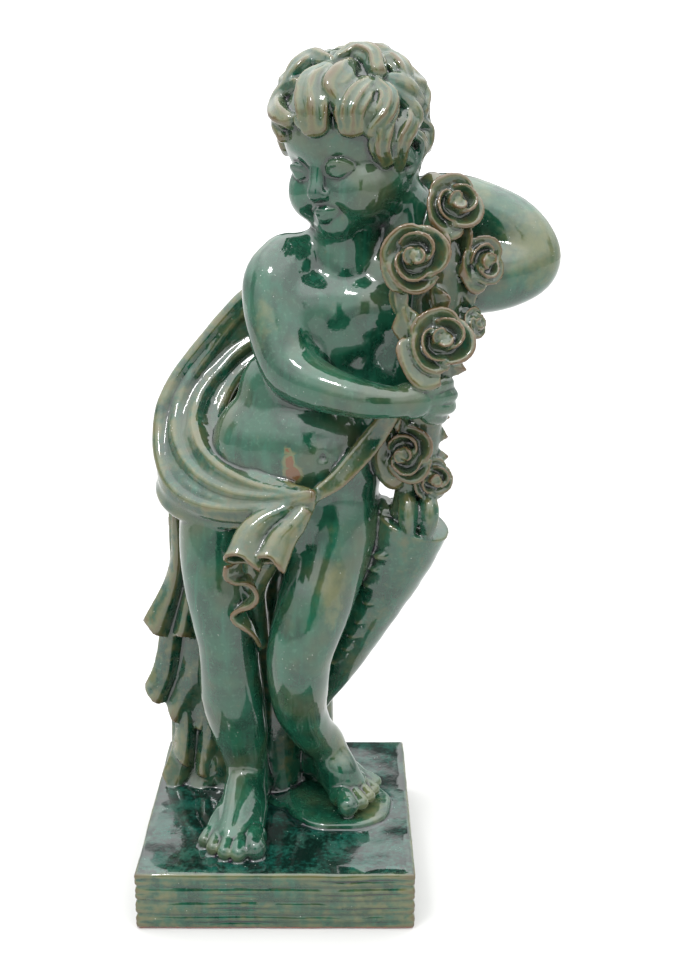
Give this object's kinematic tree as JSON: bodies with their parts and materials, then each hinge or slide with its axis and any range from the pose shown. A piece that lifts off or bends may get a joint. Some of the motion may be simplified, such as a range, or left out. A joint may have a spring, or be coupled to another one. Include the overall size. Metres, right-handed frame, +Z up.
{
  "type": "putto statue",
  "caption": "Standing putto with a rose garland, a draped mantle and a cornucopia on a ribbed square plinth, in green-glazed earthenware.",
  "frame": {"origin": "centre of the plinth's underside", "axes": "+Z up, -Y to the putto's front, +X to the putto's left"},
  "size_m": [0.3661, 0.24, 0.7253],
  "materials": {
    "glaze": "glossy"
  },
  "bodies": {
    "root": {"putto_statue": "glaze"}
  },
  "joints": []
}
